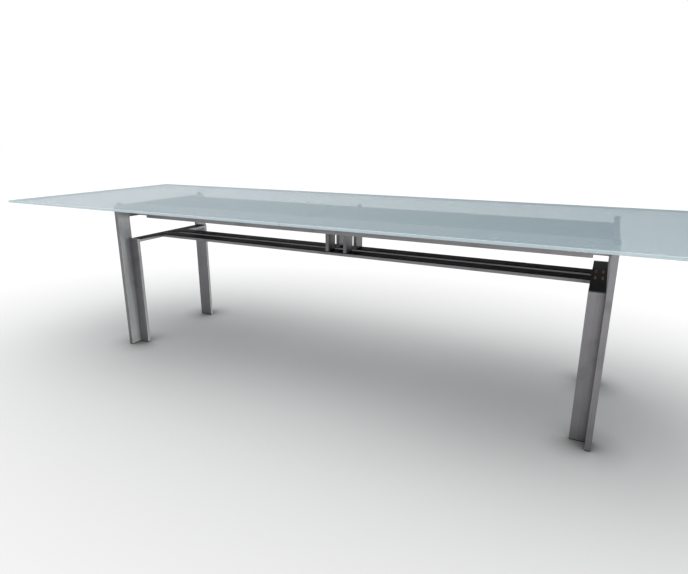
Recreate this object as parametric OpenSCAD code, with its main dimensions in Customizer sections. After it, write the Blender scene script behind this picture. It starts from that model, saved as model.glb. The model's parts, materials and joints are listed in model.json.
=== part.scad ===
// Extending dining table: a glass top in two halves on a steel frame of two leg
// ends, a hollow beam and two lower rails. Each leg end draws out along X from a
// centre unit, on runners inside the beam and inner bars inside the lower rails.
// Origin: on the floor at the middle of the table. +X is along its length, the
// front is towards -Y and +Z is up. Millimetres.

/* [Overall] */
// Length of the table with both halves pushed in
table_l = 3066; // [2560:1:3680]
// Width of the glass from front to back
table_w = 1016; // [850:1:1220]
// Height of the top surface above the floor
table_h = 720; // [650:1:864]
// How far each half draws out
travel = 250; // [150:1:300]

/* [Glass top] */
// Thickness of the glass
glass_t = 10; // [8:0.5:15]
// Polished chamfer along the outer edges of the glass
glass_chamfer = 1; // [0.5:0.1:2]
// Small chamfer along the edges that meet at the middle of the table
seam_chamfer = 0.3; // [0.2:0.1:1]
// How far the glass stands past the legs at each end
end_overhang = 465; // [300:1:560]
// How far the glass stands past the legs at the front and the back
side_overhang = 206; // [150:1:250]

/* [Legs] */
// Thickness of the side plate of a leg, along the table
leg_side_t = 20; // [15:1:26]
// Width of the side plate of a leg, from front to back
leg_side_w = 69; // [50:1:90]
// Thickness of the face plate of a leg, from front to back
leg_face_t = 15; // [10:1:20]
// Width of the face plate of a leg, along the table
leg_face_w = 52; // [40:1:70]
// Height of the plate that ties the two legs of one end under the glass
end_plate_h = 60; // [40:1:80]
// Thickness of the rubber under each leg plate
foot_t = 3; // [2:0.5:6]

/* [Beam] */
// Space between the side of the beam and the face plate of a leg
beam_inset = 56; // [40:1:68]
// Height of the beam
beam_h = 70; // [58:1:90]
// Thickness of the upright web of a side rail
web_t = 6; // [4:0.5:8]
// Thickness of the bottom flange of a side rail
flange_t = 11; // [8:0.5:14]
// Width of the bottom flange of a side rail
flange_w = 50; // [40:1:60]
// Thickness of the blackened plate on top of the beam
top_plate_t = 4; // [3:0.5:6]
// Width of the cross block near the legs, along the table
cross_block_w = 73; // [60:1:90]
// Space between the cross block and the inner edge of the legs
cross_block_gap = 11; // [5:1:30]

/* [Lower rails] */
// Space from the middle of the table to the near side of a lower rail
rail_inset = 19; // [12:1:40]
// Width of a lower rail
rail_w = 63; // [50:1:76]
// Height of a lower rail with its cover strip
rail_h = 15; // [13:0.5:18]
// Wall of a lower rail, and the thickness of its cover strip
rail_wall = 3; // [2:0.5:3.5]
// Height of the posts between the lower rails and the beam
post_h = 95; // [70:1:130]
// Thickness of a post, along the table
post_t = 15; // [10:1:20]
// From the middle of the table to the middle of a post
post_x = 42.5; // [35:0.5:60]

/* [Runners] */
// Width of a runner inside the beam
runner_w = 20; // [16:1:24]
// Height of a runner inside the beam
runner_h = 36; // [30:1:44]
// Wall of a runner
runner_wall = 3; // [2:0.5:4]
// From the middle of the table to the end of a runner
runner_reach = 560; // [460:1:680]
// From the middle of the table to the end of an inner bar
inner_bar_reach = 460; // [400:1:560]
// Length of a glide block, along the runner
glide_l = 60; // [40:1:75]
// Thickness of a glide block's wall towards the middle of the table
glide_wall = 11; // [8:0.5:14]
// From the inner end of a half of the beam to its glide blocks
glide_inset = 8; // [4:1:14]
// Length of the steel stop on a runner
stop_l = 18; // [12:1:24]
// Length of the nylon block on the end of a runner
tip_l = 30; // [20:1:40]

/* [Fasteners and pads] */
// Diameter of a screw head
screw_head_d = 8; // [6:0.5:10]
// Height of a screw head
screw_head_h = 1.8; // [1.2:0.1:2.5]
// Diameter of a screw's shank
screw_d = 4; // [3:0.5:5]
// Length of a beam screw below its head
screw_l = 16; // [12:1:20]
// How far a crossbar screw reaches below the cover strip
cover_screw_grip = 8; // [5:0.5:9]
// Spacing of the screws in a group, along the table
screw_pitch_x = 24; // [18:1:26]
// Spacing of the screws in a group, from front to back
screw_pitch_y = 24; // [18:1:26]
// From the edge of a web to the nearest row of screws
web_screw_edge = 7; // [5:0.5:10]
// From the inner face of a web to the nearest row of screws on top of the beam
top_screw_inset = 35; // [25:1:45]
// Diameter of a pad between the frame and the glass
pad_d = 22; // [16:1:24]
// Height of a pad between the frame and the glass
pad_h = 11; // [8:0.5:16]
// From the outer side of a leg to the middle of its pad
leg_pad_inset = 25; // [15:1:30]
// From the side of the beam to the middle of a pad on the centre unit
centre_pad_inset = 21; // [14:1:30]
// From the inner end of a half of the beam to the middle of its pads
half_pad_inset = 70; // [40:1:200]
// From the middle of the beam to the middle of a pad on a half, front to back
half_pad_y = 88.5; // [30:0.5:100]

/* [Clearances] */
// Gap between the two halves of the glass when the table is closed
glass_seam = 0.8; // [0.6:0.1:3]
// Gap between the centre unit and each half of the frame when closed
frame_seam = 0.6; // [0.4:0.1:2]
// Gap round a sliding piece, on each side
slide_clear = 0.3; // [0.25:0.05:0.6]

/* [Hidden] */
$fn = 48;
LEFT = -1;
RIGHT = 1;
FRONT = -1;
BACK = 1;
EPS = 1;

// Heights
beam_z1 = table_h - glass_t - pad_h;
beam_z0 = beam_z1 - beam_h;
web_z0 = beam_z0 + flange_t;
web_z1 = beam_z1 - top_plate_t;
end_plate_z0 = beam_z1 - end_plate_h;
rail_z1 = beam_z0 - post_h;
rail_z0 = rail_z1 - rail_h;
cover_z0 = rail_z1 - rail_wall;

// Places along the table
half_l = table_l / 2;
leg_x1 = half_l - end_overhang;
leg_side_x0 = leg_x1 - leg_side_t;
leg_x0 = leg_side_x0 - leg_face_w;
block_x1 = leg_x0 - cross_block_gap;
block_x0 = block_x1 - cross_block_w;
centre_x1 = post_x + post_t / 2;
half_x0 = centre_x1 + frame_seam;
crossbar_x = (leg_x0 + leg_side_x0) / 2;

// Places from front to back
leg_y1 = table_w / 2 - side_overhang;
leg_y0 = leg_y1 - leg_side_w;
beam_y1 = leg_y0 - beam_inset;
web_y0 = beam_y1 - web_t;
rail_y0 = rail_inset;
rail_y1 = rail_inset + rail_w;
rail_mid_y = (rail_y0 + rail_y1) / 2;

// Runners, glides and stops
glide_w = 2 * (glide_wall + slide_clear) + runner_w;
glide_y0 = web_y0 - glide_w;
runner_y0 = glide_y0 + glide_wall + slide_clear;
runner_y1 = runner_y0 + runner_w;
glide_x0 = half_x0 + glide_inset;
glide_x1 = glide_x0 + glide_l;
stop_x0 = glide_x1 + travel + slide_clear;
bar_w = rail_w - 2 * (rail_wall + slide_clear);
bar_z0 = rail_z0 + rail_wall + slide_clear;
bar_z1 = cover_z0 - slide_clear;

// Screws and pads
cover_screw_l = rail_wall + cover_screw_grip;
top_screw_y = web_y0 - top_screw_inset;
web_screw_x = (block_x0 + block_x1) / 2;
web_mid_z = (web_z0 + web_z1) / 2;
web_screw_z = [web_z0 + web_screw_edge, web_mid_z, web_z1 - web_screw_edge];
centre_screw_z = [web_mid_z, web_z1 - web_screw_edge];
leg_pad_y = leg_y1 - leg_pad_inset;
centre_pad_y = beam_y1 - centre_pad_inset;
half_pad_x = half_x0 + half_pad_inset;

// Colours
STEEL = [0.56, 0.56, 0.58];
BLACK = [0.09, 0.09, 0.10];
COPPER = [0.80, 0.45, 0.24];
RUBBER = [0.14, 0.14, 0.15];
NYLON = [0.86, 0.86, 0.82];
GLASS = [0.68, 0.79, 0.83, 0.5];

// ---- helpers -------------------------------------------------------------

// A square block between low and high values along x, y and z
module block(x, y, z) {
    translate([x[0], y[0], z[0]])
        cube([x[1] - x[0], y[1] - y[0], z[1] - z[0]]);
}

// Turns a piece drawn at the right and the back into any of the four corners
module corner(side, face = BACK) {
    mirror([side == LEFT ? 1 : 0, 0, 0])
        mirror([0, face == FRONT ? 1 : 0, 0])
            children();
}

// A round bar of diameter d, standing on z0 and reaching z1
module round_bar(x, y, z, d) {
    translate([x, y, z[0]])
        cylinder(h = z[1] - z[0], d = d);
}

// A button-head screw with its head standing up from z = 0
module screw(length) {
    head_r = screw_head_d / 2;
    socket_d = screw_head_d * 0.45;
    difference() {
        rotate_extrude()
            polygon([
                [0, -length], [screw_d / 2, -length], [screw_d / 2, 0], [head_r, 0],
                [head_r, screw_head_h * 0.4], [head_r * 0.7, screw_head_h],
                [0, screw_head_h]
            ]);
        translate([0, 0, screw_head_h * 0.3])
            cylinder(h = screw_head_h, d = socket_d, $fn = 6);
    }
}

// Screw places on the top of one half of the beam: three rows of three
function top_screw_places() = [
    for (i = [-1:1], j = [-1:1])
        [web_screw_x + i * screw_pitch_x, j * top_screw_y]
];

// Screw places on a web, three by three, as distances along and up
function web_screw_places() = [
    for (i = [-1:1], z = web_screw_z)
        [web_screw_x + i * screw_pitch_x, z]
];

// Screw places on one end's crossbar: two by two behind each lower rail
function crossbar_screw_places() = [
    for (f = [FRONT, BACK], i = [-0.5, 0.5], j = [-0.5, 0.5])
        [crossbar_x + i * screw_pitch_x, f * rail_mid_y + j * screw_pitch_y]
];

// Screw places on the centre unit's webs, two by two in line with the posts
function centre_screw_places() = [
    for (s = [LEFT, RIGHT], z = centre_screw_z) [s * post_x, z]
];

// Holes straight down through a plate, at a list of x and y places
module holes_down(places, z) {
    for (p = places)
        round_bar(p[0], p[1], z, screw_d);
}

// Holes straight through the back wall of the beam, at a list of x and z places
module holes_across(places, y) {
    for (p = places)
        translate([p[0], y[0], p[1]])
            rotate([-90, 0, 0])
                cylinder(h = y[1] - y[0], d = screw_d);
}

// ---- centre unit ---------------------------------------------------------

module centre_top_plate() {
    color(BLACK)
        block([-centre_x1, centre_x1], [-beam_y1, beam_y1], [web_z1, beam_z1]);
}

// Web and flange between the halves; where the flange meets a post, it is cut round it
module centre_side_rail(face) {
    color(STEEL) corner(RIGHT, face) difference() {
        union() {
            block([-centre_x1, centre_x1], [web_y0, beam_y1], [web_z0, web_z1]);
            block([-centre_x1, centre_x1], [beam_y1 - flange_w, beam_y1], [beam_z0, web_z0]);
        }
        for (side = [LEFT, RIGHT])
            corner(side)
                block([post_x - post_t / 2, centre_x1 + EPS], [rail_y0, rail_y1],
                      [beam_z0 - EPS, web_z0]);
        holes_across(centre_screw_places(), [web_y0 - EPS, beam_y1 + EPS]);
    }
}

// Upright plate across the beam, over a pair of posts, with the runners through it
module bulkhead(side) {
    color(STEEL) corner(side) difference() {
        block([post_x - post_t / 2, post_x + post_t / 2], [-web_y0, web_y0], [web_z0, web_z1]);
        for (face = [FRONT, BACK]) {
            corner(RIGHT, face)
                block([0, centre_x1 + EPS], [runner_y0, runner_y1],
                      [web_mid_z - runner_h / 2, web_mid_z + runner_h / 2]);
            corner(RIGHT, face)
                holes_across([for (z = centre_screw_z) [post_x, z]],
                             [beam_y1 - screw_l, web_y0 + EPS]);
        }
    }
}

// Rectangular tube that carries both halves, open at its ends
module runner(face) {
    color(STEEL) corner(RIGHT, face) difference() {
        block([-runner_reach, runner_reach], [runner_y0, runner_y1],
              [web_mid_z - runner_h / 2, web_mid_z + runner_h / 2]);
        block([-runner_reach - EPS, runner_reach + EPS],
              [runner_y0 + runner_wall, runner_y1 - runner_wall],
              [web_mid_z - runner_h / 2 + runner_wall, web_mid_z + runner_h / 2 - runner_wall]);
    }
}

// Nylon block on each end of each runner, running inside the beam
module runner_end_glides() {
    plug = 24;
    fit = 0.1;
    color(NYLON) for (side = [LEFT, RIGHT], face = [FRONT, BACK])
        corner(side, face) {
            block([runner_reach, runner_reach + tip_l],
                  [glide_y0, web_y0 - slide_clear],
                  [web_z0 + slide_clear, web_z1 - slide_clear]);
            block([runner_reach - plug, runner_reach],
                  [runner_y0 + runner_wall + fit, runner_y1 - runner_wall - fit],
                  [web_mid_z - runner_h / 2 + runner_wall + fit,
                   web_mid_z + runner_h / 2 - runner_wall - fit]);
        }
}

// Steel stop on the inner side of each runner, which the glide blocks meet when open
module runner_stops() {
    color(STEEL) for (side = [LEFT, RIGHT], face = [FRONT, BACK])
        corner(side, face)
            block([stop_x0, stop_x0 + stop_l], [glide_y0, runner_y0],
                  [web_mid_z - runner_h / 4, web_mid_z + runner_h / 4]);
}

module post(side, face) {
    color(STEEL) corner(side, face)
        block([post_x - post_t / 2, post_x + post_t / 2], [rail_y0, rail_y1], [rail_z1, web_z0]);
}

// Short closed-in channel of the lower rail that stays with the centre unit
module centre_sleeve(face) {
    color(STEEL) corner(RIGHT, face) difference() {
        block([-centre_x1, centre_x1], [rail_y0, rail_y1], [rail_z0, cover_z0]);
        block([-centre_x1 - EPS, centre_x1 + EPS],
              [rail_mid_y - bar_w / 2, rail_mid_y + bar_w / 2], [bar_z0, cover_z0 + EPS]);
    }
}

module inner_bar(face) {
    color(STEEL) corner(RIGHT, face)
        block([-inner_bar_reach, inner_bar_reach],
              [rail_mid_y - bar_w / 2, rail_mid_y + bar_w / 2], [bar_z0, bar_z1]);
}

module centre_sleeve_covers() {
    color(BLACK) for (face = [FRONT, BACK])
        corner(RIGHT, face)
            block([-centre_x1, centre_x1], [rail_y0, rail_y1], [cover_z0, rail_z1]);
}

module centre_screws() {
    color(COPPER) for (face = [FRONT, BACK], p = centre_screw_places())
        corner(RIGHT, face)
            translate([p[0], beam_y1, p[1]])
                rotate([-90, 0, 0])
                    screw(screw_l);
}

// A rubber pad with a small chamfer at its top
module pad(x, y) {
    r = pad_d / 2;
    edge = 1;
    translate([x, y, beam_z1])
        rotate_extrude()
            polygon([[0, 0], [r, 0], [r, pad_h - edge], [r - edge, pad_h], [0, pad_h]]);
}

module centre_pads() {
    color(RUBBER) for (face = [FRONT, BACK])
        pad(0, face * centre_pad_y);
}

// ---- one half of the table ----------------------------------------------

// Outline of the glass seen edge on, with chamfers of c0 at its low side and c1 at its high side
function glass_outline(low, high, c0, c1) =
    let (z0 = table_h - glass_t, z1 = table_h)
    [
        [low + c0, z0], [high - c1, z0], [high, z0 + c1], [high, z1 - c1],
        [high - c1, z1], [low + c0, z1], [low, z1 - c0], [low, z0 + c0]
    ];

// Chamfered plate, made where its long section and its cross section meet
module glass_half(side) {
    c = glass_chamfer;
    color(GLASS) corner(side) intersection() {
        translate([0, table_w / 2, 0])
            rotate([90, 0, 0])
                linear_extrude(table_w)
                    polygon(glass_outline(glass_seam / 2, half_l, seam_chamfer, c));
        rotate([90, 0, 90])
            linear_extrude(half_l)
                polygon(glass_outline(-table_w / 2, table_w / 2, c, c));
    }
}

module top_plate(side) {
    color(BLACK) corner(side) difference() {
        block([half_x0, leg_side_x0], [-beam_y1, beam_y1], [web_z1, beam_z1]);
        holes_down(top_screw_places(), [web_z1 - EPS, beam_z1 + EPS]);
    }
}

// Angle of an upright web and a bottom flange; the flange stops short of the leg
module side_rail(side, face) {
    color(STEEL) corner(side, face) difference() {
        union() {
            block([half_x0, leg_side_x0], [web_y0, beam_y1], [web_z0, web_z1]);
            block([half_x0, leg_x0], [beam_y1 - flange_w, beam_y1], [beam_z0, web_z0]);
        }
        holes_across(web_screw_places(), [web_y0 - EPS, beam_y1 + EPS]);
    }
}

// Block across the beam that takes the screws from the top plate and both webs
module cross_block(side) {
    color(STEEL) corner(side) difference() {
        block([block_x0, block_x1], [-web_y0, web_y0], [web_z0, web_z1]);
        holes_down(top_screw_places(), [beam_z1 - screw_l, web_z1 + EPS]);
        for (face = [FRONT, BACK])
            corner(RIGHT, face)
                holes_across(web_screw_places(), [beam_y1 - screw_l, web_y0 + EPS]);
    }
}

// Nylon block round each runner at the mouth of the half beam
module glide_blocks(side) {
    bore_h = runner_h / 2 + slide_clear;
    color(NYLON) for (face = [FRONT, BACK])
        corner(side, face) difference() {
            block([glide_x0, glide_x1], [glide_y0, web_y0], [web_z0, web_z1]);
            block([glide_x0 - EPS, glide_x1 + EPS],
                  [runner_y0 - slide_clear, runner_y1 + slide_clear],
                  [web_mid_z - bore_h, web_mid_z + bore_h]);
        }
}

module end_plate(side) {
    color(STEEL) corner(side)
        block([leg_side_x0, leg_x1], [-leg_y0, leg_y0], [end_plate_z0, beam_z1]);
}

module leg_side(side, face) {
    color(STEEL) corner(side, face)
        block([leg_side_x0, leg_x1], [leg_y0, leg_y1], [foot_t, beam_z1]);
}

module leg_face(side, face) {
    color(STEEL) corner(side, face)
        block([leg_x0, leg_side_x0], [leg_y0, leg_y0 + leg_face_t], [foot_t, rail_z1]);
}

// Thin rubber under both plates of both legs
module feet(side) {
    inset = 1;
    color(RUBBER) for (face = [FRONT, BACK])
        corner(side, face) {
            block([leg_side_x0 + inset, leg_x1 - inset],
                  [leg_y0 + inset, leg_y1 - inset], [0, foot_t]);
            block([leg_x0 + inset, leg_side_x0 - inset],
                  [leg_y0 + inset, leg_y0 + leg_face_t - inset], [0, foot_t]);
        }
}

module crossbar(side) {
    color(STEEL) corner(side) difference() {
        block([leg_x0, leg_side_x0], [-leg_y0, leg_y0], [rail_z0, cover_z0]);
        holes_down(crossbar_screw_places(), [rail_z1 - cover_screw_l, cover_z0 + EPS]);
    }
}

module crossbar_cover(side) {
    color(BLACK) corner(side) difference() {
        block([leg_x0, leg_side_x0], [-leg_y0, leg_y0], [cover_z0, rail_z1]);
        holes_down(crossbar_screw_places(), [cover_z0 - EPS, rail_z1 + EPS]);
    }
}

// Channel that slides over the inner bar, closed above by its cover strip
module lower_rail(side, face) {
    color(STEEL) corner(side, face) difference() {
        block([half_x0, leg_x0], [rail_y0, rail_y1], [rail_z0, cover_z0]);
        block([half_x0 - EPS, leg_x0 - rail_wall],
              [rail_y0 + rail_wall, rail_y1 - rail_wall],
              [rail_z0 + rail_wall, cover_z0 + EPS]);
    }
}

module rail_covers(side) {
    color(BLACK) for (face = [FRONT, BACK])
        corner(side, face)
            block([half_x0, leg_x0], [rail_y0, rail_y1], [cover_z0, rail_z1]);
}

module half_screws(side) {
    color(COPPER) corner(side) {
        for (p = top_screw_places())
            translate([p[0], p[1], beam_z1])
                screw(screw_l);
        for (p = crossbar_screw_places())
            translate([p[0], p[1], rail_z1])
                screw(cover_screw_l);
        for (face = [FRONT, BACK], p = web_screw_places())
            corner(RIGHT, face)
                translate([p[0], beam_y1, p[1]])
                    rotate([-90, 0, 0])
                        screw(screw_l);
    }
}

module half_pads(side) {
    color(RUBBER) corner(side)
        for (face = [FRONT, BACK]) {
            pad((leg_side_x0 + leg_x1) / 2, face * leg_pad_y);
            pad(half_pad_x, face * half_pad_y);
        }
}

// ---- centre unit, drawn --------------------------------------------------

centre_top_plate();
centre_side_rail(FRONT);  // centre_front_side_rail
centre_side_rail(BACK);  // centre_back_side_rail
bulkhead(LEFT);  // left_bulkhead
bulkhead(RIGHT);  // right_bulkhead
runner(FRONT);  // front_runner
runner(BACK);  // back_runner
runner_end_glides();
runner_stops();
post(LEFT, FRONT);  // left_front_post
post(LEFT, BACK);  // left_back_post
post(RIGHT, FRONT);  // right_front_post
post(RIGHT, BACK);  // right_back_post
centre_sleeve(FRONT);  // front_centre_sleeve
centre_sleeve(BACK);  // back_centre_sleeve
inner_bar(FRONT);  // front_inner_bar
inner_bar(BACK);  // back_inner_bar
centre_sleeve_covers();
centre_screws();
centre_pads();

// ---- left half, drawn ----------------------------------------------------

glass_half(LEFT);  // left_glass
top_plate(LEFT);  // left_top_plate
side_rail(LEFT, FRONT);  // left_front_side_rail
side_rail(LEFT, BACK);  // left_back_side_rail
cross_block(LEFT);  // left_cross_block
glide_blocks(LEFT);  // left_glide_blocks
end_plate(LEFT);  // left_end_plate
leg_side(LEFT, FRONT);  // left_front_leg_side
leg_side(LEFT, BACK);  // left_back_leg_side
leg_face(LEFT, FRONT);  // left_front_leg_face
leg_face(LEFT, BACK);  // left_back_leg_face
feet(LEFT);  // left_feet
crossbar(LEFT);  // left_crossbar
crossbar_cover(LEFT);  // left_crossbar_cover
lower_rail(LEFT, FRONT);  // left_front_lower_rail
lower_rail(LEFT, BACK);  // left_back_lower_rail
rail_covers(LEFT);  // left_rail_covers
half_screws(LEFT);  // left_screws
half_pads(LEFT);  // left_pads

// ---- right half, drawn ---------------------------------------------------

glass_half(RIGHT);  // right_glass
top_plate(RIGHT);  // right_top_plate
side_rail(RIGHT, FRONT);  // right_front_side_rail
side_rail(RIGHT, BACK);  // right_back_side_rail
cross_block(RIGHT);  // right_cross_block
glide_blocks(RIGHT);  // right_glide_blocks
end_plate(RIGHT);  // right_end_plate
leg_side(RIGHT, FRONT);  // right_front_leg_side
leg_side(RIGHT, BACK);  // right_back_leg_side
leg_face(RIGHT, FRONT);  // right_front_leg_face
leg_face(RIGHT, BACK);  // right_back_leg_face
feet(RIGHT);  // right_feet
crossbar(RIGHT);  // right_crossbar
crossbar_cover(RIGHT);  // right_crossbar_cover
lower_rail(RIGHT, FRONT);  // right_front_lower_rail
lower_rail(RIGHT, BACK);  // right_back_lower_rail
rail_covers(RIGHT);  // right_rail_covers
half_screws(RIGHT);  // right_screws
half_pads(RIGHT);  // right_pads
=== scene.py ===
# %% [markdown]
# # An extending glass table
# The table is a glass top in two halves on a frame of flat steel plates. The
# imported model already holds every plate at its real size, so this script gives
# the parts their finish. It rounds the plates' edges, turns the screws and pads
# as finer pieces, lays out the materials, and sets up the floor, the light and
# the camera.

# %% Load the table as a fixed frame
import json
import math

import bmesh
import bpy
from mathutils import Euler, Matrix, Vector


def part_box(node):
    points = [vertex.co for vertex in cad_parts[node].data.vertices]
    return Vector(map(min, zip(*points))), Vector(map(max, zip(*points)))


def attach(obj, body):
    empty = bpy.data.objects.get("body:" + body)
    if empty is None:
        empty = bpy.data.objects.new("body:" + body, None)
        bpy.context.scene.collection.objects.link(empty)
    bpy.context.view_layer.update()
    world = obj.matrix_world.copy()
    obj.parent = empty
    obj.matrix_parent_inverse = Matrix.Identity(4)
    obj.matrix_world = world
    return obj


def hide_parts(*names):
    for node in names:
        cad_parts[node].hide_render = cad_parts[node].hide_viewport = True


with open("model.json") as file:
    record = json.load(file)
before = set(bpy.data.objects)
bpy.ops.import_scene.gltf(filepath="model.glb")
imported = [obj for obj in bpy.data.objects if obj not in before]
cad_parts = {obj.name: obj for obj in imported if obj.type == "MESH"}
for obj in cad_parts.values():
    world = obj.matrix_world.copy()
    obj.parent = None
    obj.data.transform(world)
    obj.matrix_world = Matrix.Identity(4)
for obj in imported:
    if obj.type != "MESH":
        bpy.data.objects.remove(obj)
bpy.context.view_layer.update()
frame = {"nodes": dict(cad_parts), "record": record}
MM = 0.001
nodes = frame["nodes"]
slot_of = {s["node"]: s["material_slot"] for s in frame["record"]["subparts"]}

# %% [markdown]
# ## The camera
# A camera is placed by where it stands and by how it is turned. It stands in
# front of the right-hand end at about eye level for someone seated, looks
# across towards the left, and uses a fairly wide lens, so that the near leg
# looks much larger than the far one.

# %% Camera in front of the right-hand end
CAMERA_PLACE = Vector((1.018, -2.033, 1.0085))
CAMERA_DOWN = 15.965
CAMERA_TO_LEFT = 26.635
LENS = 27.39

camera_data = bpy.data.cameras.new("camera")
camera_data.lens = LENS
camera = bpy.data.objects.new("camera", camera_data)
camera.location = CAMERA_PLACE
camera.rotation_euler = Euler(
    (math.radians(90 - CAMERA_DOWN), 0, math.radians(CAMERA_TO_LEFT)))
bpy.context.scene.collection.objects.link(camera)
bpy.context.scene.camera = camera

# %% [markdown]
# ## Small tools for node trees
# Materials and Geometry Nodes are both trees of nodes joined by links. One
# helper adds a node, sets its properties and fills or links its inputs, so
# that each tree below reads from top to bottom like a recipe. The others name
# the steps that come back in nearly every tree.

# %% Helpers that add nodes to a tree
def add(tree, kind, inputs=None, **settings):
    """Adds a node. An input may be a value or another node's output socket."""
    node = tree.nodes.new(kind)
    for name, value in settings.items():
        setattr(node, name, value)
    for name, value in (inputs or {}).items():
        if isinstance(value, bpy.types.NodeSocket):
            tree.links.new(value, node.inputs[name])
        else:
            node.inputs[name].default_value = value
    return node


def math_node(tree, operation, a, b=0.0):
    """One step of arithmetic on two numbers or sockets."""
    return add(tree, "ShaderNodeMath", {0: a, 1: b}, operation=operation).outputs[0]


def vector_node(tree, operation, a, b=(0.0, 0.0, 0.0)):
    """One step of arithmetic on two vectors, which gives a number or a vector."""
    node = add(tree, "ShaderNodeVectorMath", {0: a, 1: b}, operation=operation)
    return node.outputs["Value" if operation in ("DOT_PRODUCT", "LENGTH") else "Vector"]


def split(tree, vector):
    """The three parts of a vector."""
    return add(tree, "ShaderNodeSeparateXYZ", {0: vector}).outputs


print("tree helpers ready")


# %% Helpers for the steps that materials repeat
def place_on_piece(tree):
    """Where a point lies on the table, in metres from its origin."""
    return add(tree, "ShaderNodeTexCoord").outputs["Object"]


def surface_normal(tree):
    """Which way the surface faces."""
    return add(tree, "ShaderNodeNewGeometry").outputs["Normal"]


def noise(tree, place, scale, detail, roughness=0.5, distortion=0.0):
    """A cloudy value between 0 and 1 that changes with the place."""
    return add(tree, "ShaderNodeTexNoise",
               {"Vector": place, "Scale": scale, "Detail": detail,
                "Roughness": roughness, "Distortion": distortion}).outputs[0]


def remap(tree, value, low, high, new_low=0.0, new_high=1.0, **settings):
    """Stretches a value from one range to another and holds it inside."""
    return add(tree, "ShaderNodeMapRange",
               {"Value": value, "From Min": low, "From Max": high,
                "To Min": new_low, "To Max": new_high}, **settings).outputs[0]


def mix_colour(tree, factor, a, b):
    """Blends two colours, each a tuple or a socket, by a mask."""
    node = add(tree, "ShaderNodeMix", data_type="RGBA")
    for index, value in ((0, factor), (6, a), (7, b)):
        if isinstance(value, bpy.types.NodeSocket):
            tree.links.new(value, node.inputs[index])
        else:
            node.inputs[index].default_value = value if index == 0 else (*value, 1.0)
    return node.outputs[2]


print("material helpers ready")


# %% Helpers that make a group or a material
def new_group(name, inputs, outputs):
    """A shader node group with named sockets: {name: default} in, {name: kind} out."""
    group = bpy.data.node_groups.new(name, "ShaderNodeTree")
    for label, default in inputs.items():
        kind = "NodeSocketVector" if isinstance(default, tuple) else "NodeSocketFloat"
        socket = group.interface.new_socket(label, in_out="INPUT", socket_type=kind)
        socket.default_value = default
    for label, kind in outputs.items():
        group.interface.new_socket(label, in_out="OUTPUT", socket_type=kind)
    return group, group.nodes.new("NodeGroupInput"), group.nodes.new("NodeGroupOutput")


def use_group(tree, group, **values):
    """Places a shader group in a material with its own values."""
    node = tree.nodes.new("ShaderNodeGroup")
    node.node_tree = group
    for name, value in values.items():
        node.inputs[name.replace("_", " ")].default_value = value
    return node


def new_material(name):
    """An empty node material with its Principled shader wired to the output."""
    material = bpy.data.materials.new(name)
    material.use_nodes = True
    tree = material.node_tree
    tree.nodes.clear()
    shader = tree.nodes.new("ShaderNodeBsdfPrincipled")
    output = tree.nodes.new("ShaderNodeOutputMaterial")
    tree.links.new(shader.outputs["BSDF"], output.inputs["Surface"])
    return material, tree, shader


def dress(tree, shader, colour, rough, height, bump, depth=0.3 * MM):
    """Gives the shader a colour, a roughness and a shallow relief that vary over the surface."""
    relief = add(tree, "ShaderNodeBump", {"Strength": bump, "Distance": depth, "Height": height})
    tree.links.new(colour, shader.inputs["Base Color"])
    tree.links.new(rough, shader.inputs["Roughness"])
    tree.links.new(relief.outputs["Normal"], shader.inputs["Normal"])


print("group and material helpers ready")

# %% [markdown]
# ## Brushed streaks
# The plates are finished with an abrasive belt, which leaves fine lines along
# each plate's length. A noise pattern squeezed across the plate and stretched
# along it gives such lines. It is built once as a group, and its Stretch says
# which way the belt ran.

# %% Group: brushed streaks
BROAD_TO_FINE = 0.16
FINE_SHARE = 0.55

streaks, s_in, s_out = new_group(
    "brushed_streaks",
    {"Stretch": (1.0, 1.0, 0.02), "Fineness": 900.0},
    {"Tone": "NodeSocketFloat", "Height": "NodeSocketFloat"})
s_long = vector_node(streaks, "MULTIPLY", place_on_piece(streaks), s_in.outputs["Stretch"])
s_fine = noise(streaks, s_long, s_in.outputs["Fineness"], 3.0, 0.65)
s_coarse = math_node(streaks, "MULTIPLY", s_in.outputs["Fineness"], BROAD_TO_FINE)
s_broad = noise(streaks, s_long, s_coarse, 3.0, 0.6)
s_mix = math_node(streaks, "ADD",
                  math_node(streaks, "MULTIPLY", s_fine, FINE_SHARE),
                  math_node(streaks, "MULTIPLY", s_broad, 1 - FINE_SHARE))
streaks.links.new(s_mix, s_out.inputs["Tone"])
streaks.links.new(s_fine, s_out.inputs["Height"])
print("streak group:", len(streaks.nodes), "nodes")

# %% [markdown]
# ## Edge wear
# Hands, cloths and chair backs polish the edges of a metal frame first. Every
# plate here is square to the table, so a face that points along no axis can
# only be part of a rounded edge. The largest part of the normal is 1 on a flat
# face and less on an edge, which makes a mask that needs no painting.

# %% Group: edge wear
FLAT_FACE = 0.995
ROUNDED_EDGE = 0.85

wear, w_in, w_out = new_group(
    "edge_wear", {"Amount": 0.6, "Patchiness": 40.0}, {"Mask": "NodeSocketFloat"})
w_x, w_y, w_z = split(wear, vector_node(wear, "ABSOLUTE", surface_normal(wear)))
w_most = math_node(wear, "MAXIMUM", math_node(wear, "MAXIMUM", w_x, w_y), w_z)
w_edge = remap(wear, w_most, FLAT_FACE, ROUNDED_EDGE)
w_noise = noise(wear, place_on_piece(wear), w_in.outputs["Patchiness"], 4.0)
w_patch = remap(wear, w_noise, 0.35, 0.65)
w_mask = math_node(wear, "MULTIPLY", math_node(wear, "MULTIPLY", w_edge, w_patch),
                   w_in.outputs["Amount"])
wear.links.new(w_mask, w_out.inputs["Mask"])
print("wear group:", len(wear.nodes), "nodes")

# %% [markdown]
# ## Handling marks and dust
# Skin oil leaves cloudy patches that are a little glossier or duller than the
# rest, and dust settles on what faces up. Both are soft noise masks; the dust
# also asks which way the surface faces.

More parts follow.
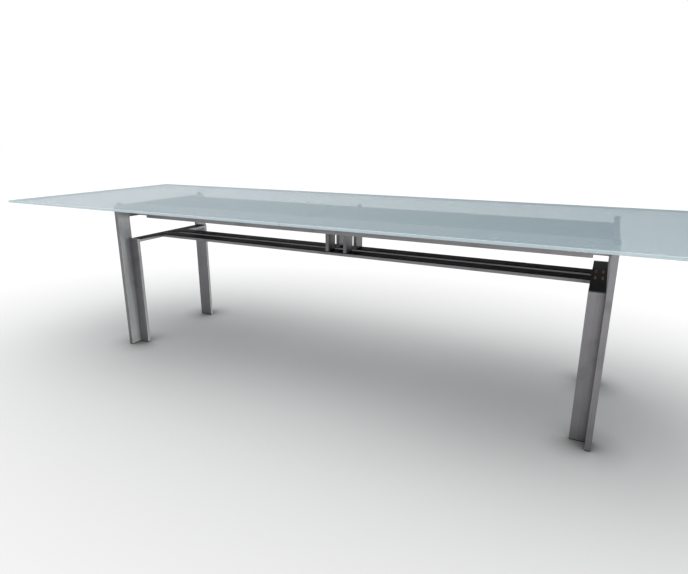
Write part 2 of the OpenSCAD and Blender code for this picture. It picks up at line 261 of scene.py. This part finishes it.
# %% Groups: handling marks and settled dust
marks, m_in, m_out = new_group(
    "handling_marks", {"Size": 9.0, "Amount": 0.5}, {"Mask": "NodeSocketFloat"})
m_cloud = noise(marks, place_on_piece(marks), m_in.outputs["Size"], 5.0, 0.6, 0.4)
m_soft = remap(marks, m_cloud, 0.48, 0.72, interpolation_type="SMOOTHSTEP")
marks.links.new(math_node(marks, "MULTIPLY", m_soft, m_in.outputs["Amount"]),
                m_out.inputs["Mask"])

dust, d_in, d_out = new_group(
    "settled_dust", {"Speck": 260.0, "Amount": 0.2}, {"Mask": "NodeSocketFloat"})
d_facing = remap(dust, split(dust, surface_normal(dust))["Z"], 0.5, 1.0)
d_noise = noise(dust, place_on_piece(dust), d_in.outputs["Speck"], 6.0, 0.7)
d_mask = math_node(dust, "MULTIPLY", math_node(dust, "MULTIPLY", d_facing, d_noise),
                   d_in.outputs["Amount"])
dust.links.new(d_mask, d_out.inputs["Mask"])
print("marks and dust groups ready")


# %% [markdown]
# ## Satin steel
# The frame is dark satin stainless steel. The streaks change its colour and roughness a little and give a
# very shallow bump, edge wear brightens the rounded edges, and handling marks dull it in patches. Plates
# that run along different axes need the belt lines to turn with them, so one recipe makes three materials.
# The long rails are painted a touch paler than the rest: this is painted light, a lit copy of the same
# steel that stands in for more light on their faces. The runners inside the beam are smoother and brighter.

# %% Recipe for brushed steel
STEEL_METALLIC = 0.6


def brushed_steel(name, stretch, dark, light, rough, bump=0.12, wear_amount=0.5):
    """Steel with belt lines: the stretch is small along the plate's length."""
    material, tree, shader = new_material(name)
    lines = use_group(tree, streaks, Stretch=stretch)
    worn = use_group(tree, wear, Amount=wear_amount)
    hands = use_group(tree, marks, Amount=0.5)
    oily, rubbed = tuple(0.8 * v for v in dark), tuple(min(1.0, 1.9 * v) for v in light)
    tone = remap(tree, lines.outputs["Tone"], 0.3, 0.7)
    colour = mix_colour(tree, tone, dark, light)
    colour = mix_colour(tree, hands.outputs["Mask"], colour, oily)
    colour = mix_colour(tree, worn.outputs["Mask"], colour, rubbed)
    dulled = math_node(tree, "ADD", remap(tree, tone, 0.0, 1.0, *rough),
                       math_node(tree, "MULTIPLY", hands.outputs["Mask"], 0.10))
    dress(tree, shader, colour, dulled, lines.outputs["Height"], bump)
    shader.inputs["Metallic"].default_value = STEEL_METALLIC
    return material


print("steel recipe ready")

# %% The steels of the frame
ALONG_X = (0.012, 1.0, 1.0)
ALONG_Y = (1.0, 0.012, 1.0)
ALONG_Z = (1.0, 1.0, 0.012)
STEEL_DARK = (0.165, 0.160, 0.168)
STEEL_LIGHT = (0.255, 0.248, 0.258)
# The long steel's paler tones are painted light: a lit copy of the steel that stands in for more light on
# the long rails.
LONG_PAINTED_LIT_DARK = (0.195, 0.189, 0.198)
LONG_PAINTED_LIT_LIGHT = (0.300, 0.292, 0.304)
STEEL_ROUGH = (0.34, 0.46)
RUNNER_DARK = (0.22, 0.22, 0.23)
RUNNER_LIGHT = (0.42, 0.42, 0.43)
RUNNER_ROUGH = (0.22, 0.36)

steel_upright = brushed_steel("satin_steel_upright", ALONG_Z, STEEL_DARK, STEEL_LIGHT, STEEL_ROUGH)
steel_long_painted_lit = brushed_steel("satin_steel_long_painted_lit", ALONG_X, LONG_PAINTED_LIT_DARK, LONG_PAINTED_LIT_LIGHT, STEEL_ROUGH)
steel_cross = brushed_steel("satin_steel_cross", ALONG_Y, STEEL_DARK, STEEL_LIGHT, STEEL_ROUGH)
runner_steel = brushed_steel("runner_steel", ALONG_X, RUNNER_DARK, RUNNER_LIGHT, RUNNER_ROUGH,
                             bump=0.05, wear_amount=0.8)
print("steels:", [m.name for m in bpy.data.materials if "steel" in m.name])

# %% [markdown]
# ## Near-black plates, painted shade
# The plates that face up under the glass are painted near-black: the black is painted shade, standing in
# for the deep shadow under the frame and the glass. They are satin with belt lines, slightly brown in
# patches, and they show dust and bright rubbed edges more than bare steel does.

# %% Near-black plates that carry painted shade
# The near-black tones are painted shade on the up-facing plates; the browner patches are random tone, and
# the dust and rubbed edges mixed over them are dirt and wear.
BLACK_DARK = (0.005, 0.005, 0.006)
BLACK_LIGHT = (0.013, 0.012, 0.013)
BLACK_BROWN_PATCH = (0.016, 0.013, 0.012)
DUST_ON_BLACK = (0.30, 0.29, 0.28)
RUBBED_STEEL = (0.24, 0.23, 0.23)

painted_shade_black, b_tree, b_shader = new_material("painted_shade_black_steel")
b_lines = use_group(b_tree, streaks, Stretch=ALONG_X, Fineness=500.0)
b_cloud = use_group(b_tree, marks, Size=5.0, Amount=0.9)
b_wear = use_group(b_tree, wear, Amount=0.45, Patchiness=70.0)
b_dust = use_group(b_tree, dust, Speck=320.0, Amount=0.05)
b_colour = mix_colour(b_tree, b_lines.outputs["Tone"], BLACK_DARK, BLACK_LIGHT)
b_colour = mix_colour(b_tree, b_cloud.outputs["Mask"], b_colour, BLACK_BROWN_PATCH)
b_colour = mix_colour(b_tree, b_dust.outputs["Mask"], b_colour, DUST_ON_BLACK)
b_colour = mix_colour(b_tree, b_wear.outputs["Mask"], b_colour, RUBBED_STEEL)
b_rough = math_node(b_tree, "ADD", 0.50,
                    math_node(b_tree, "MULTIPLY", b_cloud.outputs["Mask"], 0.16))
dress(b_tree, b_shader, b_colour, b_rough, b_lines.outputs["Height"], 0.10)
b_shader.inputs["Specular IOR Level"].default_value = 0.06
print("blackened steel ready")

# %% [markdown]
# ## Copper, rubber and nylon
# The screws are copper plated and polished, with a faint tarnish. The pads and
# feet are matt black rubber with a fine grain. The glides are natural nylon,
# which is slightly see-through near its surface, so it gets a little
# subsurface light.

# %% Copper of the screws
BRIGHT_COPPER = (0.87, 0.44, 0.24)
TARNISH = (0.42, 0.19, 0.10)

copper, c_tree, c_shader = new_material("polished_copper")
c_marks = use_group(c_tree, marks, Size=220.0, Amount=0.8)
c_colour = mix_colour(c_tree, c_marks.outputs["Mask"], BRIGHT_COPPER, TARNISH)
c_rough = math_node(c_tree, "ADD", 0.22,
                    math_node(c_tree, "MULTIPLY", c_marks.outputs["Mask"], 0.25))
c_tree.links.new(c_colour, c_shader.inputs["Base Color"])
c_tree.links.new(c_rough, c_shader.inputs["Roughness"])
c_shader.inputs["Metallic"].default_value = 1.0
print("copper ready")


# %% Rubber and nylon, which share a grain
HOUSE_DUST = (0.36, 0.35, 0.33)


def grained(name, low, high, rough, grain, bump):
    """A moulded plastic or rubber whose colour and surface follow a fine grain."""
    material, tree, shader = new_material(name)
    speck = noise(tree, place_on_piece(tree), grain, 5.0, 0.7)
    dirt = use_group(tree, dust, Speck=grain * 0.2, Amount=0.25)
    colour = mix_colour(tree, speck, low, high)
    colour = mix_colour(tree, dirt.outputs["Mask"], colour, HOUSE_DUST)
    dress(tree, shader, colour, remap(tree, speck, 0.0, 1.0, *rough), speck, bump)
    return material, shader


rubber, _ = grained("black_rubber", (0.012, 0.012, 0.013), (0.030, 0.030, 0.032),
                    (0.65, 0.85), 1400.0, 0.25)
nylon, nylon_shader = grained("natural_nylon", (0.70, 0.69, 0.62), (0.80, 0.79, 0.73),
                              (0.35, 0.50), 500.0, 0.08)
nylon_shader.inputs["Subsurface Weight"].default_value = 0.15
nylon_shader.inputs["Subsurface Radius"].default_value = (0.004, 0.004, 0.003)
print("small materials ready")

# %% [markdown]
# ## The glass
# The top is a hazy blue-grey glass: what lies behind it still shows, but only by about a seventh. A plain
# clear glass would show the frame too well, so this one is a pale skin that lets part of the light straight
# through, set by Alpha, and each ray crosses two such skins. Its outer edges are ground and look paler,
# partly from their ground finish and partly from painted light: their colour is painted paler to stand in
# for the light that has run through the plate and comes out there. The edges that meet at mid length are
# polished clear, so that the seam all but disappears when the table is closed.

# %% Masks of the glass: its ground edge, its seam and its grain
SEAM_ZONE = 0.02
GLASS_STRETCH = (0.4, 1.0, 1.0)

glass, g_tree, g_shader = new_material("hazy_glass")
g_place = place_on_piece(g_tree)
g_normal = split(g_tree, vector_node(g_tree, "ABSOLUTE", surface_normal(g_tree)))
g_away = math_node(g_tree, "ABSOLUTE", split(g_tree, g_place)["X"])
g_seam = math_node(g_tree, "MULTIPLY", math_node(g_tree, "GREATER_THAN", g_normal["X"], 0.3),
                   math_node(g_tree, "LESS_THAN", g_away, SEAM_ZONE))
g_edge = math_node(g_tree, "MULTIPLY", math_node(g_tree, "LESS_THAN", g_normal["Z"], 0.9),
                   math_node(g_tree, "SUBTRACT", 1.0, g_seam))
g_drawn = vector_node(g_tree, "MULTIPLY", g_place, GLASS_STRETCH)
g_grain = noise(g_tree, g_drawn, 130.0, 6.0, 0.8)
g_marks = use_group(g_tree, marks, Size=4.0, Amount=0.5)
print("glass masks ready")

# %% Colour, clearness and surface of the glass
GLASS_FACE_ALPHA = 0.63
GLASS_EDGE_ALPHA = 0.86
SEAM_CLEARNESS = 0.93
GLASS_DARK = (0.230, 0.340, 0.385)
GLASS_LIGHT = (0.455, 0.560, 0.600)
# The edge colour is partly painted light: a paler tone for the light that leaves the ground edges.
GLASS_EDGE = (0.60, 0.72, 0.76)

g_colour = mix_colour(g_tree, g_edge, mix_colour(g_tree, g_grain, GLASS_DARK, GLASS_LIGHT), GLASS_EDGE)
g_skin = remap(g_tree, g_edge, 0.0, 1.0, GLASS_FACE_ALPHA, GLASS_EDGE_ALPHA)
g_cloudy = remap(g_tree, g_grain, 0.3, 0.7, 0.92, 1.08)
g_opened = math_node(g_tree, "SUBTRACT", 1.0, math_node(g_tree, "MULTIPLY", g_seam, SEAM_CLEARNESS))
g_alpha = math_node(g_tree, "MULTIPLY", math_node(g_tree, "MULTIPLY", g_skin, g_cloudy), g_opened)
g_rough = math_node(g_tree, "ADD", 0.18,
                    math_node(g_tree, "MULTIPLY", g_marks.outputs["Mask"], 0.04))
dress(g_tree, g_shader, g_colour, g_rough, g_grain, 0.02, 0.1 * MM)
g_tree.links.new(g_alpha, g_shader.inputs["Alpha"])
g_shader.inputs["IOR"].default_value = 1.5
print("glass ready")

# %% [markdown]
# ## Give each part its finish
# A CAD part keeps its shape and gets a material in its slot. The finish
# follows from the record's slot, and for the frame's steel also from which way
# the part is longest, since that is how it went through the belt.

# %% Assign the materials
BY_SLOT = {"glass": glass, "black_steel": painted_shade_black, "inner_steel": runner_steel,
           "copper_screws": copper, "rubber": rubber, "nylon": nylon}
BY_AXIS = (steel_long_painted_lit, steel_cross, steel_upright)

for name, part in nodes.items():
    low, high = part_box(name)
    size = high - low
    longest = max(range(3), key=lambda i: size[i])
    finish = BY_SLOT.get(slot_of[name], BY_AXIS[longest])
    part.data.materials.clear()
    part.data.materials.append(finish)
print("finished parts:", len(nodes))

# %% [markdown]
# ## Round the plates' edges
# No real plate has a perfectly sharp edge: the belt leaves a radius of about
# half a millimetre, and that radius is what catches the light as a fine bright
# line. The CAD mesh is loose triangles, so a Weld modifier joins them first, a
# planar Decimate merges the flat triangles, and a Bevel then rounds only the
# true edges.

# %% Weld, flatten and bevel each plate
EDGE_RADIUS = {"steel": 0.7 * MM, "black_steel": 0.4 * MM, "inner_steel": 0.5 * MM,
               "nylon": 0.6 * MM}
SAME_POINT = 0.01 * MM
FLAT_WITHIN = math.radians(0.5)
SHARP_OVER = math.radians(40)


def round_edges(part, radius):
    """Live modifiers that round a CAD part's edges without touching its own mesh."""
    weld = part.modifiers.new("weld", "WELD")
    weld.merge_threshold = SAME_POINT
    flat = part.modifiers.new("flat", "DECIMATE")
    flat.decimate_type = "DISSOLVE"
    flat.angle_limit = FLAT_WITHIN
    bevel = part.modifiers.new("bevel", "BEVEL")
    bevel.width = radius
    bevel.segments = 2
    bevel.limit_method = "ANGLE"
    bevel.angle_limit = SHARP_OVER
    bevel.use_clamp_overlap = False


rounded = 0
for name, part in nodes.items():
    radius = EDGE_RADIUS.get(slot_of[name])
    if radius:
        round_edges(part, radius)
        rounded += 1
print("parts with rounded edges:", rounded)

# %% [markdown]
# ## Where the screws and pads sit
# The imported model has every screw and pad, but only as plain shapes. Each is a
# separate island of triangles in its part, so the islands tell where every seat
# is and which way it faces. A screw is longer than its head is wide, so its
# longest side is its axis, and its head points away from the beam.

# %% Find the seats from the islands
SCREW_HEAD_HEIGHT = 1.8 * MM


def islands(part):
    """Lowest and highest corners of every connected piece of a part's mesh."""
    mesh = part.data
    point = [tuple(round(c, 5) for c in v.co) for v in mesh.vertices]
    parent = {p: p for p in point}

    def root(p):
        while parent[p] != p:
            parent[p] = parent[parent[p]]
            p = parent[p]
        return p

    for face in mesh.polygons:
        first = root(point[face.vertices[0]])
        for v in face.vertices[1:]:
            parent[root(point[v])] = first
    corners = {}
    for p in parent:
        corners.setdefault(root(p), []).append(p)
    return [(Vector([min(c) for c in zip(*ps)]), Vector([max(c) for c in zip(*ps)]))
            for ps in corners.values()]


def screw_seats(part):
    """[(where the underside of the head sits, which way the head points)]"""
    seats = []
    for low, high in islands(part):
        size, middle = high - low, (low + high) / 2
        if size.z > size.y:
            seats.append((Vector((middle.x, middle.y, high.z - SCREW_HEAD_HEIGHT)),
                          Vector((0, 0, 1))))
        else:
            out = 1 if middle.y > 0 else -1
            face = high.y if out > 0 else low.y
            seats.append((Vector((middle.x, face - out * SCREW_HEAD_HEIGHT, middle.z)),
                          Vector((0, out, 0))))
    return seats


def pad_seats(part):
    """[(centre of the pad's foot, up)]"""
    return [(Vector(((low.x + high.x) / 2, (low.y + high.y) / 2, low.z)), Vector((0, 0, 1)))
            for low, high in islands(part)]


print("screws:", {n: len(screw_seats(p)) for n, p in nodes.items() if n.endswith("_screws")},
      "pads:", {n: len(pad_seats(p)) for n, p in nodes.items() if n.endswith("_pads")})

# %% [markdown]
# ## Turn one screw and one pad
# Both are round parts, so both come from a lathe: rings of points stacked along
# the axis and joined with faces. A ring may also be six-sided, which is how the
# key socket is sunk into the screw's head.

# %% A small lathe
RING_POINTS = 24


def lathe(name, rings):
    """Stacks rings of (radius, height, is six-sided) from the bottom to the inside of the top."""
    points, faces = [], []
    for radius, level, hexagon in rings:
        for i in range(RING_POINTS):
            turn = 2 * math.pi * i / RING_POINTS
            reach = radius
            if hexagon:
                reach = radius * math.cos(math.pi / 6) / math.cos(turn % (math.pi / 3) - math.pi / 6)
            points.append((reach * math.cos(turn), reach * math.sin(turn), level))
    for ring in range(len(rings) - 1):
        for i in range(RING_POINTS):
            a, b = ring * RING_POINTS + i, ring * RING_POINTS + (i + 1) % RING_POINTS
            faces.append((a, b, b + RING_POINTS, a + RING_POINTS))
    faces.append(tuple(range(RING_POINTS - 1, -1, -1)))
    last = (len(rings) - 1) * RING_POINTS
    faces.append(tuple(range(last, last + RING_POINTS)))
    mesh = bpy.data.meshes.new(name)
    mesh.from_pydata(points, [], faces)
    mesh.update()
    return bpy.data.objects.new(name, mesh)


print("lathe ready:", RING_POINTS, "points to a ring")


# %% The screw: a button head with a key socket
def screw_rings(length, shank=2.0 * MM, head=4.0 * MM, height=SCREW_HEAD_HEIGHT, key=1.8 * MM):
    """Rings of a button-head screw with its head on z = 0 and its shank below."""
    rings = [(shank * 0.75, -length, False), (shank, -length + 0.5 * MM, False),
             (shank, 0.0, False), (head - 0.15 * MM, 0.0, False), (head, 0.15 * MM, False)]
    rise = height - 0.5 * MM
    for step in range(1, 7):
        bend = step / 6 * math.pi / 2
        rings.append((head * (0.64 + 0.36 * math.cos(bend)),
                      0.5 * MM + rise * math.sin(bend), False))
    rings += [(key + 0.15 * MM, height, True), (key, height - 0.12 * MM, True),
              (key, height * 0.35, True), (key * 0.3, height * 0.2, False)]
    return rings


BEAM_SCREW_LENGTH = 16 * MM
CROSSBAR_SCREW_LENGTH = 11 * MM
long_screw = lathe("beam_screw", screw_rings(BEAM_SCREW_LENGTH))
short_screw = lathe("crossbar_screw", screw_rings(CROSSBAR_SCREW_LENGTH))
print("screw faces:", len(long_screw.data.polygons))

# %% The pad: a soft disc with a waist groove and a shallow dish on top
PAD_RADIUS = 11 * MM
PAD_HEIGHT = 11 * MM
pad_profile = [
    (0.96, 0.00), (1.00, 0.04), (1.00, 0.26), (0.98, 0.29), (0.92, 0.32), (0.92, 0.40),
    (0.98, 0.43), (1.00, 0.46), (1.00, 0.90), (0.98, 0.955), (0.94, 0.99), (0.89, 1.00),
    (0.80, 1.00), (0.76, 0.985), (0.73, 0.955), (0.30, 0.945)]
glass_pad = lathe("glass_pad", [(PAD_RADIUS * r, PAD_HEIGHT * h, False) for r, h in pad_profile])
print("pad faces:", len(glass_pad.data.polygons))

# %% [markdown]
# ## One Geometry Nodes tree sets them all
# The tree takes a cloud of seats and puts a copy of a pattern on each. Every
# seat carries the direction its screw points in, and the copy is turned to it,
# then spun by a random angle about its own axis, since no fitter leaves all the
# key sockets lined up. The seed is fixed, so the table comes out the same every
# time. Realize Instances makes real geometry of the copies at the end.

# %% The tree that sets patterns on seats
setter = bpy.data.node_groups.new("set_on_seats", "GeometryNodeTree")
for label, side, kind in (("Seats", "INPUT", "NodeSocketGeometry"),
                          ("Pattern", "INPUT", "NodeSocketObject"),
                          ("Size", "INPUT", "NodeSocketFloat"),
                          ("Most Turn", "INPUT", "NodeSocketFloat"),
                          ("Seed", "INPUT", "NodeSocketInt"),
                          ("Finish", "INPUT", "NodeSocketMaterial"),
                          ("Set Pieces", "OUTPUT", "NodeSocketGeometry")):
    setter.interface.new_socket(label, in_out=side, socket_type=kind)
t_in, t_out = setter.nodes.new("NodeGroupInput"), setter.nodes.new("NodeGroupOutput")
t_pattern = add(setter, "GeometryNodeObjectInfo", {"Object": t_in.outputs["Pattern"]})
t_facing = add(setter, "GeometryNodeInputNamedAttribute", {"Name": "outward"},
               data_type="FLOAT_VECTOR").outputs["Attribute"]
t_stand = add(setter, "FunctionNodeAlignRotationToVector", {"Vector": t_facing}, axis="Z").outputs[0]
t_random = add(setter, "FunctionNodeRandomValue", data_type="FLOAT")
setter.links.new(t_in.outputs["Most Turn"], t_random.inputs[3])
setter.links.new(t_in.outputs["Seed"], t_random.inputs["Seed"])
t_spin = add(setter, "FunctionNodeAxisAngleToRotation",
             {"Axis": (0, 0, 1), "Angle": t_random.outputs[1]}).outputs[0]
t_turned = add(setter, "FunctionNodeRotateRotation",
               {"Rotation": t_stand, "Rotate By": t_spin}, rotation_space="LOCAL").outputs[0]
t_copies = add(setter, "GeometryNodeInstanceOnPoints",
               {"Points": t_in.outputs["Seats"], "Instance": t_pattern.outputs["Geometry"],
                "Rotation": t_turned, "Scale": t_in.outputs["Size"]}).outputs[0]
t_real = add(setter, "GeometryNodeRealizeInstances", {0: t_copies}).outputs[0]
t_painted = add(setter, "GeometryNodeSetMaterial",
                {"Geometry": t_real, "Material": t_in.outputs["Finish"]}).outputs[0]
setter.links.new(t_painted, t_out.inputs["Set Pieces"])
print("tree:", len(setter.nodes), "nodes")


# %% Run the tree on a list of seats
def set_on_seats(name, seats, pattern, finish, most_turn, seed):
    """A mesh object with the pattern copied onto every seat, as one plain mesh."""
    cloud = bpy.data.meshes.new(name + "_seats")
    cloud.from_pydata([place for place, outward in seats], [], [])
    facing = cloud.attributes.new("outward", "FLOAT_VECTOR", "POINT")
    for i, (place, outward) in enumerate(seats):
        facing.data[i].vector = outward
    holder = bpy.data.objects.new(name + "_seats", cloud)
    bpy.context.scene.collection.objects.link(holder)
    bpy.context.scene.collection.objects.link(pattern)
    modifier = holder.modifiers.new("set", "NODES")
    modifier.node_group = setter
    given = {"Pattern": pattern, "Size": 1.0, "Most Turn": most_turn, "Seed": seed,
             "Finish": finish}
    for socket in setter.interface.items_tree:
        if socket.in_out == "INPUT" and socket.name in given:
            modifier[socket.identifier] = given[socket.name]
    seen_by = bpy.context.evaluated_depsgraph_get()
    mesh = bpy.data.meshes.new_from_object(holder.evaluated_get(seen_by))
    holder.modifiers.remove(modifier)
    bpy.data.objects.remove(holder)
    bpy.context.scene.collection.objects.unlink(pattern)
    mesh.name = name
    piece = bpy.data.objects.new(name, mesh)
    bpy.context.scene.collection.objects.link(piece)
    return piece


# %% Join the sets of one body
def joined(name, parts):
    """Joins pieces into one, keeping their places in the mesh."""
    whole = bmesh.new()
    for part in parts:
        whole.from_mesh(part.data)
        bpy.data.objects.remove(part)
    mesh = bpy.data.meshes.new(name)
    whole.to_mesh(mesh)
    whole.free()
    piece = bpy.data.objects.new(name, mesh)
    bpy.context.scene.collection.objects.link(piece)
    return piece


print("ready to join")

# %% Set the screws
BODIES = ("centre_unit", "left_half", "right_half")
CROSSBAR_BELOW = 0.6
set_pieces = []
for seed, body in enumerate(BODIES):
    node = body.split("_")[0] + "_screws"
    seats = screw_seats(nodes[node])
    on_crossbar = [s for s in seats if s[1].z > 0.5 and s[0].z < CROSSBAR_BELOW]
    on_beam = [s for s in seats if s not in on_crossbar]
    groups = [(long_screw, on_beam)] + ([(short_screw, on_crossbar)] if on_crossbar else [])
    parts = [set_on_seats(node + str(i), places, pattern, copper, math.pi / 3, seed)
             for i, (pattern, places) in enumerate(groups)]
    piece = joined(body + "_button_screws", parts)
    piece.data.materials.append(copper)
    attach(piece, body)
    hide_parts(node)
    set_pieces.append(piece)
    print(piece.name, "screws:", len(seats), "faces:", len(piece.data.polygons))

# %% Set the pads
for seed, body in enumerate(BODIES):
    node = body.split("_")[0] + "_pads"
    piece = set_on_seats(body + "_glass_pads", pad_seats(nodes[node]), glass_pad, rubber, 0.0, seed)
    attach(piece, body)
    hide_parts(node)
    set_pieces.append(piece)
    print(piece.name, "faces:", len(piece.data.polygons))

# %% [markdown]
# ## The floor
# The floor is a pale sheet, far larger than the table. Its colour carries a painted shadow round the table:
# it is greyer in a ring round the table, a touch lighter under the middle of the table, and paler further
# out, so that the far floor runs into the white background without a visible horizon. The Ambient Occlusion
# node finds where something stands close above the sheet and paints a darker contact shadow into the
# floor's colour there. The floor belongs to the stage and not to the table.

# %% Sheet of the floor
FLOOR_HALF = 40.0
floor_mesh = bpy.data.meshes.new("floor")
floor_mesh.from_pydata(
    [(-FLOOR_HALF, -FLOOR_HALF, 0), (FLOOR_HALF, -FLOOR_HALF, 0),
     (FLOOR_HALF, FLOOR_HALF, 0), (-FLOOR_HALF, FLOOR_HALF, 0)], [], [(0, 1, 2, 3)])
floor = bpy.data.objects.new("floor", floor_mesh)
bpy.context.scene.collection.objects.link(floor)
print("floor sheet:", 2 * FLOOR_HALF, "m wide")

# %% Pale floor with a painted shadow
# The middle and ring tones are painted shadow under and round the table; the far tone is the floor's own
# pale colour.
PAINTED_SHADOW_MIDDLE, PAINTED_SHADOW_RING, FAR_FLOOR = (0.66,) * 3, (0.59,) * 3, (0.74,) * 3
# The grey, reach and power of the painted contact shadow that the Ambient Occlusion node lays into the
# floor's colour.
CONTACT_SHADOW_GREY = (0.10,) * 3
CONTACT_REACH = 0.14
CONTACT_POWER = 1.6
SHADOW_OVAL_SHIFT = (0.0, 0.1, 0.0)
SHADOW_OVAL_SCALE = (1 / 2.4, 1 / 1.6, 0.0)
floor_material, floor_tree, floor_shader = new_material("pale_floor")
f_place = vector_node(floor_tree, "ADD", place_on_piece(floor_tree), SHADOW_OVAL_SHIFT)
f_away = vector_node(floor_tree, "LENGTH", vector_node(floor_tree, "MULTIPLY", f_place, SHADOW_OVAL_SCALE))
f_shadow_ring_mask = remap(floor_tree, f_away, 0.10, 0.42, interpolation_type="SMOOTHSTEP")
f_far = remap(floor_tree, f_away, 0.50, 1.50, interpolation_type="SMOOTHSTEP")
# Painted shadow: the floor's colour is darkened in an oval round the table and lightened a little under its
# middle.
f_painted_shadow = mix_colour(floor_tree, f_shadow_ring_mask, PAINTED_SHADOW_MIDDLE, PAINTED_SHADOW_RING)
f_floor_and_painted_shadow = mix_colour(floor_tree, f_far, f_painted_shadow, FAR_FLOOR)
# Painted contact shadow: the floor's colour is darkened towards the grey where something stands close above
# it.
f_open = add(floor_tree, "ShaderNodeAmbientOcclusion", {"Distance": CONTACT_REACH}, samples=8).outputs["AO"]
f_painted_contact_shadow = math_node(floor_tree, "POWER", f_open, CONTACT_POWER)
f_colour = mix_colour(floor_tree, f_painted_contact_shadow, CONTACT_SHADOW_GREY, f_floor_and_painted_shadow)
floor_tree.links.new(f_colour, floor_shader.inputs["Base Color"])
floor_shader.inputs["Roughness"].default_value = 0.9
floor_shader.inputs["Specular IOR Level"].default_value = 0.1
floor_mesh.materials.append(floor_material)
print("floor ready")

# %% [markdown]
# ## The light
# The studio is one big soft dome. It is brightest straight overhead, a little
# towards the left, and falls off to dim grey at the horizon, so that the
# shadow is broad and soft and deepest under the middle of the table. A pale
# wall far off to the back left gives the glass a soft sheen. The camera itself
# sees plain white behind the table.

# %% Soft dome
DOME_TILT = Vector((-0.10, 0.03, 1.0)).normalized()
DOME_STRENGTH = 2.72
DOME_FALLOFF = 1.9
HORIZON_GLOW = 0.03
BACK_WALL = Vector((-0.86, 0.50, 0.10)).normalized()
BACK_WALL_STRENGTH = 0.45
BACK_WALL_SPREAD = 3.5
world = bpy.data.worlds.new("studio")
bpy.context.scene.world = world
world.use_nodes = True
sky = world.node_tree
sky.nodes.clear()
direction = add(sky, "ShaderNodeTexCoord").outputs["Generated"]
climb = vector_node(sky, "DOT_PRODUCT", direction, DOME_TILT)
fall = math_node(sky, "POWER", math_node(sky, "MAXIMUM", climb, 0.0), DOME_FALLOFF)
level = math_node(sky, "ADD", math_node(sky, "MULTIPLY", fall, DOME_STRENGTH), HORIZON_GLOW)
towards_wall = vector_node(sky, "DOT_PRODUCT", direction, BACK_WALL)
wall = math_node(sky, "POWER", math_node(sky, "MAXIMUM", towards_wall, 0.0), BACK_WALL_SPREAD)
level = math_node(sky, "ADD", level, math_node(sky, "MULTIPLY", wall, BACK_WALL_STRENGTH))
dome_light = add(sky, "ShaderNodeBackground", {"Color": (1, 1, 1, 1), "Strength": level})
plain_white = add(sky, "ShaderNodeBackground", {"Color": (1, 1, 1, 1)})
seen = add(sky, "ShaderNodeLightPath").outputs["Is Camera Ray"]
either = add(sky, "ShaderNodeMixShader",
             {0: seen, 1: dome_light.outputs[0], 2: plain_white.outputs[0]})
sky_out = sky.nodes.new("ShaderNodeOutputWorld")
sky.links.new(either.outputs[0], sky_out.inputs["Surface"])
bpy.context.scene.view_settings.view_transform = "Standard"
print("dome ready, straight up it gives", round(DOME_STRENGTH + HORIZON_GLOW, 2))

# %% [markdown]
# ## Soft boxes for the frame
# Satin metal only shows its form when it has something pale to mirror. Two soft boxes stand beyond the
# right-hand end and shine along the table at the far legs: the upper one only reaches their lower part,
# under the glass. A small one stands low in front for the faces that look that way. Light linking lets a
# lamp light chosen objects only, so the floor keeps the dome's shadow. The near-black plates, whose black
# is painted shade, and the posts keep to the dome too.

# %% What the soft boxes may light
whole_frame = bpy.data.collections.new("whole_frame")
far_leg_end = bpy.data.collections.new("far_leg_end")
for group in (whole_frame, far_leg_end):
    bpy.context.scene.collection.children.link(group)
for name, part in nodes.items():
    if slot_of[name] not in ("glass", "black_steel") and not name.endswith("_post"):
        whole_frame.objects.link(part)
        if name.startswith("left_") and ("leg" in name or "crossbar" in name):
            far_leg_end.objects.link(part)
for part in set_pieces:
    whole_frame.objects.link(part)


# %% Soft boxes with light linking
def soft_box(name, place, aim, width, height, power, lit, colour=(1, 1, 1)):
    """A rectangular area lamp that lights one collection but not the floor or the glass."""
    data = bpy.data.lights.new(name, "AREA")
    data.shape = "RECTANGLE"
    data.size, data.size_y, data.energy, data.color = width, height, power, colour
    lamp = bpy.data.objects.new(name, data)
    lamp.location = place
    lamp.rotation_euler = (Vector(aim) - Vector(place)).to_track_quat("-Z", "Y").to_euler()
    lamp.visible_camera = False
    bpy.context.scene.collection.objects.link(lamp)
    lamp.light_linking.receiver_collection = lit


COOL = (0.93, 1.0, 0.95)
soft_box("low_right_box", (3.4, 1.2, 0.30), (-1.0, -0.2, 0.20), 3.0, 0.8, 100, far_leg_end, COOL)
soft_box("high_right_box", (3.8, 0.1, 1.35), (-1.0, -0.2, 0.10), 2.4, 0.7, 950, far_leg_end, COOL)
soft_box("front_box", (1.6, -2.2, 0.30), (0.95, -0.2, 0.05), 0.9, 0.6, 7, whole_frame)
